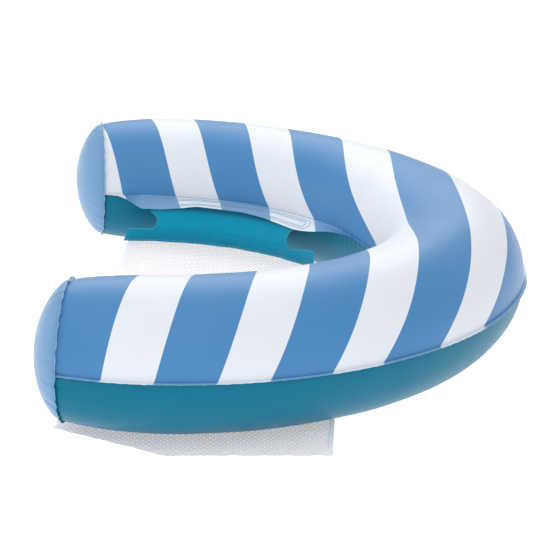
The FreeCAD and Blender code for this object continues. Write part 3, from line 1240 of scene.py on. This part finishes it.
@dataclass
class Sling:
    """Two vinyl skirts and the net between them, lying on the ground with its slack folded."""

    shape: TubeShape
    skirt_film: float = 0.5 * MM
    net_film: float = 0.5 * MM
    tape_film: float = 1.0 * MM
    outer_oval: tuple[float, ...] = (7.0 * MM, 28.0 * MM, 132.0 * MM, 505.0 * MM)
    inner_oval: tuple[float, ...] = (11.5 * MM, 23.5 * MM, 150.0 * MM, 492.0 * MM)
    stitch_row: float = 0.75
    skirt_start: float = 42.0 * MM
    skirt_end: float = 551.0 * MM
    skirt_bottom: float = 77.0 * MM
    band_overlap: float = 4.0 * MM
    tab_near: float = 8.0 * MM
    tab_far: float = 24.0 * MM
    tab_droop: float = math.radians(18.0)
    rear: Scoop = Scoop(90.0 * MM, 36.5 * MM, 14.5 * MM, 1.0)
    front: Scoop = Scoop(474.0 * MM, 34.0 * MM, 17.0 * MM, -1.0)
    lip_rise: float = 9.0 * MM
    hang_top: float = 13.5 * MM
    # Shares of painted shade: towards the skirt's lower edge and on the backing strip, just under the flange,
    # and on the tab beneath the flange.
    edge_shade: float = 0.3
    under_shade: float = 0.85
    tab_shade: float = 0.8
    crease: float = 60.0
    bead_r: float = 0.6 * MM
    stitch_pitch: float = 3.6 * MM
    stitch_length: float = 2.7 * MM
    thread_r: float = 0.22 * MM
    belly: float = 9.0 * MM
    slant: float = 8.0 * MM
    backing: float = 12.0 * MM
    hem: float = 9.0 * MM
    foot_run: float = 20.0 * MM
    foot_share: float = 0.14
    landing_share: float = 0.93
    fold_rear: tuple[float, float] = (-604.0 * MM, -450.0 * MM)
    fold_middle: tuple[float, float] = (-446.0 * MM, -536.0 * MM)
    fold_front: tuple[float, float] = (-214.0 * MM, -522.0 * MM)

    def face_n(self, u: np.ndarray) -> np.ndarray:
        """n of the skirt's upright part."""
        return -self.shape.radius(u) - self.tab_far * math.cos(self.tab_droop)

    def u_of(self, side: Side, e: np.ndarray) -> np.ndarray:
        """Distance along the tube of a distance from that arm's end."""
        return side.value * (self.shape.half_length - np.asarray(e, float))

    def outwards(self, side: Side, e: np.ndarray) -> np.ndarray:
        """Level direction from the skirt towards its arm."""
        turned = self.shape.turn(self.u_of(side, e))
        return np.stack([np.cos(turned), np.sin(turned), 0.0 * turned], -1)

    def hang(self, side: Side, e: np.ndarray, depth: np.ndarray, off: float = 0.0) -> np.ndarray:
        """A point of the skirt's upright sheet, which bellies out and has the easy waves of loose film.

        Args:
            side: Which skirt.
            e: Distances from the arm's end.
            depth: Depths below the weld seam.
            off: Distance from the sheet towards the arm.

        Returns:
            Points.
        """
        e, depth = np.broadcast_arrays(np.asarray(e, float), np.asarray(depth, float))
        u = self.u_of(side, e)
        share = np.clip(depth / self.skirt_bottom, 0.0, 1.0)
        belly = self.belly * np.sin(math.pi * share ** 1.4)
        seed = 61 if side is Side.LEFT else 71
        wave = share * (1.5 * MM * ripple(e, 105.0 * MM, seed) + 0.5 * MM * ripple(e, 37.0 * MM, seed + 1))
        return self.shape.at(u, self.face_n(u) - belly + wave + off, -depth)

    def lip(self, e: np.ndarray) -> np.ndarray:
        """Depth of the top of the skirt's lower band."""
        rise = self.lip_rise * smooth(e, self.front.e - 10.0 * MM, self.skirt_end)
        return self.rear.depth + self.rear.r - rise

    def skirt(self, side: Side) -> MeshMaker:
        """Mesh of one skirt: the sheet between its notches, its lower band, and a tab under the flange.

        Args:
            side: Which skirt.

        Returns:
            The mesh, not yet made into an object.
        """
        angle = np.linspace(-math.pi / 2.0, math.pi / 2.0, 19)
        depths = [np.linspace(self.hang_top, self.rear.depth - self.rear.r, 5)]
        depths += [notch.depth + notch.r * np.sin(angle) for notch in (self.rear, self.front)]
        depths += [[self.front.depth + self.front.r + self.band_overlap]]
        depth = np.unique(np.round(np.concatenate(depths), 5))[:, None]
        share = np.linspace(0.0, 1.0, 120)[None, :]
        e = self.rear.edge(depth) + (self.front.edge(depth) - self.rear.edge(depth)) * share
        maker = MeshMaker(f"{side.word}_skirt")
        maker.sheet(self.hang(side, e, depth), self.skirt_film, fold_shade=self.fold_shade(depth))

        e = np.linspace(self.skirt_start, self.skirt_end, 150)[None, :]
        down = np.linspace(0.0, 1.0, 14)[:, None]
        depth = self.lip(e) + (self.skirt_bottom - self.lip(e)) * down
        e = e - self.slant * down * (1.0 - smooth(e, self.skirt_start, self.skirt_start + 50.0 * MM))
        band = self.hang(side, e, depth, -self.skirt_film)
        maker.sheet(band, self.skirt_film, fold_shade=self.fold_shade(depth))

        start, end = (float(notch.edge(self.hang_top)) for notch in (self.rear, self.front))
        e = np.linspace(start, end, 120)[:, None]
        out = np.linspace(self.tab_near, self.tab_far, 6)[None, :]
        u = self.u_of(side, e)
        n, z = self.shape.on_flange(u, out, self.shape.edge_wave(u, out) - 0.9 * MM)
        tab = [self.shape.at(u, n, z), self.hang(side, e, self.hang_top)]
        # The tab beneath the flange takes painted shade.
        return maker.sheet(np.concatenate(tab, 1), self.skirt_film, fold_shade=np.array(self.tab_shade))

    def fold_shade(self, depth: np.ndarray) -> np.ndarray:
        """Share of painted shade at a depth: most just under the flange, where its shadow falls, and some
        towards the lower edge.
        """
        under_flange = np.exp(-(depth - self.hang_top) / (4.0 * MM))
        return self.under_shade * under_flange + self.edge_shade * smooth(depth, 34.0 * MM, self.skirt_bottom)

    def fold(self, across: np.ndarray) -> np.ndarray:
        """X and Y of the fold in the net, from its rear end (0) to its front end (1).

        Args:
            across: 0 at the net's rear edge to 1 at its front edge.

        Returns:
            X and Y, on the last axis.
        """
        corners = (self.fold_rear, self.fold_middle, self.fold_front)
        rear, middle, front = (np.array(p) + (self.shape.nose_x, 0.0) for p in corners)
        rear_length, front_length = np.linalg.norm(middle - rear), np.linalg.norm(front - middle)
        share = rear_length / (rear_length + front_length)
        t = np.asarray(across, float)[..., None]
        first = rear + (middle - rear) * t / share
        second = middle + (front - middle) * (t - share) / (1.0 - share)
        blend = smooth(t, share - 0.09, share + 0.09)
        return first * (1.0 - blend) + second * blend

    def net_at(self, across: np.ndarray, along: np.ndarray) -> np.ndarray:
        """A point of the net.

        Args:
            across: 0 at the rear edge to 1 at the front edge.
            along: 0 at the top of the left riser, 1 at its foot, 2 at the fold, 3 at the foot of the
                right riser, 4 at its top.

        Returns:
            Points.
        """
        across, along = np.broadcast_arrays(np.asarray(across, float), np.asarray(along, float))
        e = self.skirt_start + across * (self.skirt_end - self.skirt_start)
        fold = self.fold(across)
        hidden, edge, outwards = {}, {}, {}
        for side in Side:
            outwards[side] = self.outwards(side, e)
            hidden[side] = self.hang(side, e, self.skirt_bottom - self.backing, 0.6 * MM)
            edge[side] = self.hang(side, e, self.skirt_bottom + 1.5 * MM, 0.6 * MM)
        foot = edge[Side.RIGHT][..., :2] + outwards[Side.RIGHT][..., :2] * self.foot_run
        reach = np.linalg.norm(fold - edge[Side.LEFT][..., :2], axis=-1)
        span = np.linalg.norm(edge[Side.RIGHT][..., :2] - edge[Side.LEFT][..., :2], axis=-1)
        landing = self.landing_share * span / reach

        left_run, right_run = np.clip(along - 1.0, 0.0, 1.0), np.clip(3.0 - along, 0.0, 1.0)
        low, high = 0.35 * MM, 1.35 * MM
        lifted = np.maximum(1.0 - left_run / landing, 0.0)
        plan = edge[Side.LEFT][..., :2] + (fold - edge[Side.LEFT][..., :2]) * left_run[..., None]
        height = low + (edge[Side.LEFT][..., 2] - low) * lifted ** 1.5 + self.slack(across, left_run, lifted)
        left = np.concatenate([plan, height[..., None]], -1)
        drop = np.clip(right_run / self.foot_share, 0.0, 1.0)
        rest = np.clip((right_run - self.foot_share) / (1.0 - self.foot_share), 0.0, 1.0)[..., None]
        plan = edge[Side.RIGHT][..., :2] * (1.0 - drop)[..., None] + foot * drop[..., None]
        plan = plan * (1.0 - rest) + fold * rest
        height = high + (edge[Side.RIGHT][..., 2] - high) * (1.0 - drop) ** 2
        right = np.concatenate([plan, height[..., None]], -1)

        clamped = {Side.LEFT: np.clip(along, 0.0, 1.0), Side.RIGHT: np.clip(4.0 - along, 0.0, 1.0)}
        for side, part in ((Side.LEFT, left), (Side.RIGHT, right)):
            behind = clamped[side][..., None]
            part[...] = np.where(behind < 1.0, hidden[side] * (1.0 - behind) + edge[side] * behind, part)
        point = np.where((along <= 2.0)[..., None], left, right)
        beside = np.abs(along - 2.0)
        loop = np.exp(-(beside * 22.0) ** 2) * np.where(along <= 2.0, 0.5, -0.5) * MM
        crinkle = 0.6 * MM * (1.0 + ripple(across * 0.5 - beside * 0.3, 46.0 * MM, 82))
        point[..., 2] += loop + (1.0 - smooth(beside, 0.05, 0.12)) * crinkle
        return point

    def slack(self, across: np.ndarray, run: np.ndarray, lifted: np.ndarray) -> np.ndarray:
        """How far the net between the arms waves up from its easy slope.

        Args:
            across: 0 at the rear edge to 1 at the front edge.
            run: 0 at the left skirt to 1 at the fold.
            lifted: 1 at the left skirt to 0 where the net reaches the ground.

        Returns:
            Heights.
        """
        broad = 1.0 + ripple(across * 0.5 + run * 0.10, 130.0 * MM, 81)
        fine = 1.0 + ripple(across * 0.5 - run * 0.12, 52.0 * MM, 83)
        return smooth(run, 0.0, 0.2) * smooth(lifted, 0.0, 0.3) * MM * (1.2 * broad + 0.4 * fine)

    def build_net(self, finishes: Finishes) -> list[bpy.types.Object]:
        """Args:
            finishes: The seat's materials.

        Returns:
            The net, then its tapes and their stitches.
        """
        foot = 3.0 - self.foot_share
        spans = ((0.0, 1.0, 5), (1.0, 1.9, 119), (1.9, 2.1, 40), (2.1, foot, 33), (foot, 3.0, 21),
                 (3.0, 4.0, 5))
        runs = [np.linspace(low, high, count + 1)[1:] for low, high, count in spans]
        along = np.concatenate([[0.0]] + runs)[None, :]
        edges = [self.net_at(np.array([end]), along) for end in (0.0, 1.0)]
        width = np.linalg.norm(edges[0] - edges[1], axis=-1)[0]
        share = self.hem / width
        steps = np.linspace(0.0, 1.0, 96)[:, None]
        across = share * 0.4 + (1.0 - 0.8 * share) * steps
        net = self.laid("sling_net", across, along + 0.0 * across, self.net_film)
        net = finished(net, finishes.net, "white_net", "sling_mesh")
        pieces = [net]
        tree = PathTree.stitches(self.stitch_pitch, self.stitch_length, self.thread_r, finishes.thread)
        strip = np.linspace(0.0, 1.0, 6)[:, None] * share
        row = self.stitch_row * share[None, :]
        for word, across, stitch in (("rear", strip, row), ("front", 1.0 - strip[::-1], 1.0 - row)):
            tape = self.laid(f"sling_{word}_tape", across, along + 0.0 * across, self.tape_film)
            pieces.append(finished(tape, finishes.tape, "white_tape", f"sling_{word}_hem"))
            line = self.net_at(stitch, along)[0]
            line[:, 2] += np.where((along[0] > 2.05) | (along[0] < 1.95), 0.6 * MM, 0.0)
            stitched = tree.along(f"sling_{word}_stitches", [line[8:-8]])
            pieces.append(finished(stitched, finishes.thread, "white_tape"))
        area, net_width, net_length = self.area_of(along[0])
        return pieces

    def area_of(self, along: np.ndarray) -> tuple[float, float, float]:
        """Flat area, width and length of the net's cut, without its waves.

        Args:
            along: Places along the net at which it is measured.

        Returns:
            Area, width and length.
        """
        across = np.linspace(0.0, 1.0, 80)[:, None]
        points = self.net_at(across, along[None, :] + 0.0 * across)
        area = grid_area(points)
        width = np.linalg.norm(np.diff(points, axis=0), axis=-1).sum(0).max()
        length = np.linalg.norm(np.diff(points, axis=1), axis=-1).sum(1).max()
        return area, float(width), float(length)

    def laid(self, name: str, across: np.ndarray, along: np.ndarray, film: float) -> bpy.types.Object:
        """Makes a strip of the sling as a thin closed sheet that knows its own weave.

        Args:
            name: Name of the piece.
            across: Places of its points across the net.
            along: Places of its points along the net.
            film: Thickness of the strip.

        Returns:
            The piece.
        """
        points = self.net_at(across, along)
        weave = {"cloth_across": points[..., 0], "cloth_along": points[..., 1] + 1.5 * points[..., 2]}
        maker = MeshMaker(name).sheet(points, film, **weave)
        return maker.make(self.crease)

    def oval(self, side: Side, near: float, far: float, e_from: float, e_to: float) -> np.ndarray:
        """Loop of a weld line on the flange: two long sides joined by half circles.

        Args:
            side: Which arm.
            near: Distance of its near side from the seam.
            far: Distance of its far side from the seam.
            e_from: Its start, as a distance from the arm's end.
            e_to: Its end, as a distance from the arm's end.

        Returns:
            Points of the loop.
        """
        middle, r = (near + far) / 2.0, (far - near) / 2.0
        e_line = np.linspace(e_from + r, e_to - r, 150)
        cap = np.linspace(-math.pi / 2.0, math.pi / 2.0, 14)[1:-1]
        swell, rise = r * np.cos(cap), r * np.sin(cap)
        e = np.concatenate([e_line, e_to - r + swell, e_line[::-1], e_from + r - swell])
        out = np.concatenate([0.0 * e_line + near, middle + rise, 0.0 * e_line + far, middle - rise])
        u = self.u_of(side, e)
        n, z = self.shape.on_flange(u, out, 0.7 * MM + self.shape.edge_wave(u, out))
        return self.shape.at(u, n, z)

    def build(self, finishes: Finishes) -> list[bpy.types.Object]:
        """Makes and dresses the whole sling.

        Args:
            finishes: The seat's materials.

        Returns:
            All its pieces.
        """
        pieces = []
        bead = PathTree.bead(self.bead_r, finishes.weld)
        # Beads along the skirt's welds and notch rims, in a lighter colour that is a painted highlight.
        rib = PathTree.bead(self.bead_r, finishes.rib)
        for side in Side:
            cut = self.skirt(side)
            skirt = finished(cut.make(self.crease), finishes.skirt, "skirt_vinyl", f"{side.word}_sling_skirt")
            strip = finished(self.backing_strip(side), finishes.skirt, "skirt_vinyl",
                             f"{side.word}_mesh_backing_strip")
            pieces += [skirt, strip]
            loops = [self.oval(side, *self.outer_oval), self.oval(side, *self.inner_oval)]
            welds = bead.along(f"{side.word}_flange_weld_lines", loops, closed=True)
            pieces.append(finished(welds, finishes.weld, "striped_vinyl"))
            e = np.linspace(self.skirt_start - 4.0 * MM, self.skirt_end - 2.0 * MM, 200)
            lines = [self.hang(side, e, self.skirt_bottom - 4.0 * MM, -0.9 * MM)]
            for notch, end in ((self.rear, self.skirt_start), (self.front, self.skirt_end)):
                round_e, round_depth = notch.rim()
                lip_e = np.linspace(notch.e, end, 24)[1:]
                rim_e = np.concatenate([round_e, lip_e]) + notch.towards * 0.8 * MM
                rim_depth = np.concatenate([round_depth, self.lip(lip_e)]) + 0.8 * MM
                lines.append(self.hang(side, rim_e, rim_depth, -0.9 * MM))
            ribs = rib.along(f"{side.word}_skirt_weld_lines", lines)
            pieces.append(finished(ribs, finishes.rib, "skirt_vinyl"))
            e = np.linspace(66.0 * MM, 600.0 * MM, 260)
            n, z = self.shape.on_flange(self.u_of(side, e), np.full_like(e, 0.6 * MM), 0.6 * MM)
            crease = bead.along(f"{side.word}_flange_seam_line", [self.shape.at(self.u_of(side, e), n, z)])
            pieces.append(finished(crease, finishes.weld, "striped_vinyl"))
        return pieces + self.build_net(finishes)

    def backing_strip(self, side: Side) -> bpy.types.Object:
        """Strip behind the skirt's lower edge that clamps the net to it.

        Args:
            side: Which skirt.

        Returns:
            The strip.
        """
        e = np.linspace(self.skirt_start + self.hem, self.skirt_end - self.hem, 110)[:, None]
        depth = np.linspace(self.skirt_bottom - self.backing, self.skirt_bottom - 0.5 * MM, 5)[None, :]
        points = self.hang(side, e, depth, 1.2 * MM)
        maker = MeshMaker(f"{side.word}_backing_strip")
        # The backing strip takes the painted shade of the skirt's lower edge.
        return maker.sheet(points, self.skirt_film, fold_shade=np.array(self.edge_shade)).make()


# ---------------------------------------------------------------- valve


@dataclass
class AirValve:
    """The push-in valve: its collar is made here, and its moving pieces are the CAD's own."""

    seat: ValveSeat
    bore_r: float = 6.6 * MM
    collar_r: float = 10.0 * MM
    collar_depth: float = 8.0 * MM
    trim_r: float = 12.5 * MM

    def build(self, finishes: Finishes) -> list[bpy.types.Object]:
        """Makes the collar and dresses the moving pieces.

        Args:
            finishes: The seat's materials.

        Returns:
            The pieces made here.
        """
        profile = [(self.bore_r, -self.collar_depth), (self.bore_r, -0.6 * MM),
                   (self.bore_r + 0.7 * MM, 0.1 * MM), (9.2 * MM, 0.2 * MM), (9.6 * MM, 0.75 * MM),
                   (11.4 * MM, 0.75 * MM), (self.trim_r, 0.3 * MM), (self.trim_r, -0.6 * MM),
                   (self.collar_r, -1.0 * MM), (self.collar_r, -self.collar_depth)]
        axis = np.array(self.seat.axis)
        first = np.cross(axis, (0.0, 0.0, 1.0))
        first = first / np.linalg.norm(first)
        second = np.cross(axis, first)
        angle = np.linspace(0.0, TURN, 73)[:-1][:, None, None]
        r, s = (np.array(column)[None, :, None] for column in zip(*profile, profile[0]))
        points = np.array(self.seat.centre) + axis * s + r * (first * np.cos(angle) + second * np.sin(angle))
        base = finished(self.turned("valve_collar", points), finishes.clear, "clear_vinyl", "valve_base")
        for name in ("valve_stem", "valve_plug", "valve_flap"):
            node = frame["nodes"][name]
            node.data.materials.clear()
            node.data.materials.append(finishes.clear)
        return [base]

    def turned(self, name: str, points: np.ndarray) -> bpy.types.Object:
        """Closed ring from a profile turned round the axis.

        Args:
            name: Name of the piece.
            points: Points of the closed profile at each angle, angles by points by 3.

        Returns:
            The ring.
        """
        rows, columns = points.shape[:2]
        i, j = np.meshgrid(np.arange(rows), np.arange(columns - 1), indexing="ij")
        i, j = i.ravel(), j.ravel()
        after = (i + 1) % rows
        size = columns - 1
        wrap = (j + 1) % size
        quads = np.stack([i * size + j, after * size + j, after * size + wrap, i * size + wrap], 1)
        flat = points[:, :-1].reshape(-1, 3)
        a, b, c, d = (flat[quads[:, k]] for k in range(4))
        if (a * np.cross(b, c)).sum() + (a * np.cross(c, d)).sum() < 0.0:
            quads = quads[:, ::-1]
        mesh = bpy.data.meshes.new(name)
        mesh.from_pydata(flat.tolist(), [], quads.tolist())
        mesh.polygons.foreach_set("use_smooth", np.ones(len(mesh.polygons), bool))
        mesh.set_sharp_from_angle(angle=math.radians(40.0))
        made = bpy.data.objects.new(name, mesh)
        bpy.context.scene.collection.objects.link(made)
        return made


# ---------------------------------------------------------------- studio


@dataclass
class Studio:
    """White floor, soft lights and the camera."""

    nose_x: float
    seam_z: float
    azimuth: float = math.radians(-2.435)
    elevation: float = math.radians(18.56)
    roll: float = math.radians(2.398)
    distance: float = 3.189
    lens: float = 129.0
    target_x: float = -0.2823
    target_z: float = -0.0285

    def build(self) -> None:
        """Makes the floor, lights, world and camera."""
        self.floor()
        self.light("overhead", (-0.2, -1.4, 2.8), (0.0, 0.1, 0.1), 2.8, 22.0)
        self.light("back", (-0.1, 2.3, 2.6), (0.0, 0.0, 0.1), 3.0, 50.0)
        self.light("low_front", (-0.4, -3.2, 1.2), (0.0, 0.0, 0.0), 2.6, 12.0)
        self.light("left_fill", (-3.2, 0.2, 1.3), (0.0, 0.0, 0.1), 2.0, 15.0)
        world = bpy.data.worlds.new("studio")
        world.use_nodes = True
        world.node_tree.nodes["Background"].inputs["Color"].default_value = (0.97, 0.985, 1.0, 1.0)
        world.node_tree.nodes["Background"].inputs["Strength"].default_value = 0.74
        bpy.context.scene.world = world
        bpy.context.scene.view_settings.view_transform = "Standard"
        self.camera()

    def floor(self) -> None:
        """Plain pale floor, just under the model."""
        mesh = bpy.data.meshes.new("floor")
        size = 14.0
        corners = [(-size, -size, 0.0), (size, -size, 0.0), (size, size, 0.0), (-size, size, 0.0)]
        mesh.from_pydata(corners, [], [(0, 1, 2, 3)])
        made = bpy.data.objects.new("floor", mesh)
        bpy.context.scene.collection.objects.link(made)
        glow = paint(255, 255, 255)
        book = Book("pale_floor").set(Base_Color=paint(150, 150, 151), Roughness=0.9, Emission_Color=glow,
                                      Emission_Strength=1.0, Specular_IOR_Level=0.0)
        made.data.materials.append(book.material)

    def light(self, name: str, place: Sequence[float], aim: Sequence[float], size: float,
              power: float) -> None:
        """Square soft light at a place, aimed at a point.

        Args:
            name: Name of the light.
            place: Where it stands.
            aim: Point that it shines on.
            size: Length of its side.
            power: Its power in watts.
        """
        data = bpy.data.lights.new(name, "AREA")
        data.size = size
        data.energy = power
        made = bpy.data.objects.new(name, data)
        made.location = place
        made.rotation_euler = (Vector(aim) - Vector(place)).to_track_quat("-Z", "Y").to_euler()
        bpy.context.scene.collection.objects.link(made)

    def camera(self) -> None:
        """Long lens from a little above the float, turned slightly about its own axis."""
        back = Vector((math.sin(self.azimuth) * math.cos(self.elevation),
                       -math.cos(self.azimuth) * math.cos(self.elevation), math.sin(self.elevation)))
        data = bpy.data.cameras.new("camera")
        data.lens = self.lens
        data.sensor_width = 36.0
        data.clip_end = 60.0
        made = bpy.data.objects.new("camera", data)
        target = Vector((self.nose_x + self.target_x, 0.0, self.seam_z + self.target_z))
        turn = (-back).to_track_quat("-Z", "Y").to_matrix().to_4x4() @ Matrix.Rotation(self.roll, 4, "Z")
        made.matrix_world = Matrix.Translation(target + back * self.distance) @ turn
        bpy.context.scene.collection.objects.link(made)
        bpy.context.scene.camera = made


def valve_seat() -> ValveSeat:
    """Axis of the valve from the joint that its stem slides on, and the middle of its collar.

    Returns:
        The valve's place and axis.
    """
    stem_length = 20.0 * MM
    slide = next(joint for joint in frame["joints"] if joint["name"] == "valve_stem_slide")
    axis = Vector(slide["axis"]).normalized()
    stem = frame["nodes"]["valve_stem"].data
    heights = [Vector(v.co) @ axis for v in stem.vertices]
    bottom = [Vector(v.co) for v, h in zip(stem.vertices, heights) if h < min(heights) + 0.1 * MM]
    foot = sum(bottom, Vector()) / len(bottom)
    return ValveSeat(foot + axis * stem_length, axis)


def main() -> None:
    """Builds the seat and its studio."""
    logging.basicConfig(level=logging.INFO, format="%(message)s")
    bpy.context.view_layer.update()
    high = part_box("top_panel")[1]
    nose_r = 115.7 * MM
    fringe = 5.5 * MM
    shape = TubeShape(nose_x=high.x - nose_r - fringe, seam_z=high.z - nose_r)
    seat = valve_seat()
    finishes = Finishes()
    AirTube(shape, seat).build(finishes)
    for side in Side:
        EndCap(shape, side).build(finishes)
    Sling(shape).build(finishes)
    AirValve(seat).build(finishes)
    Studio(shape.nose_x, shape.seam_z).build()
    bpy.context.view_layer.update()


if __name__ == "__main__":
    main()
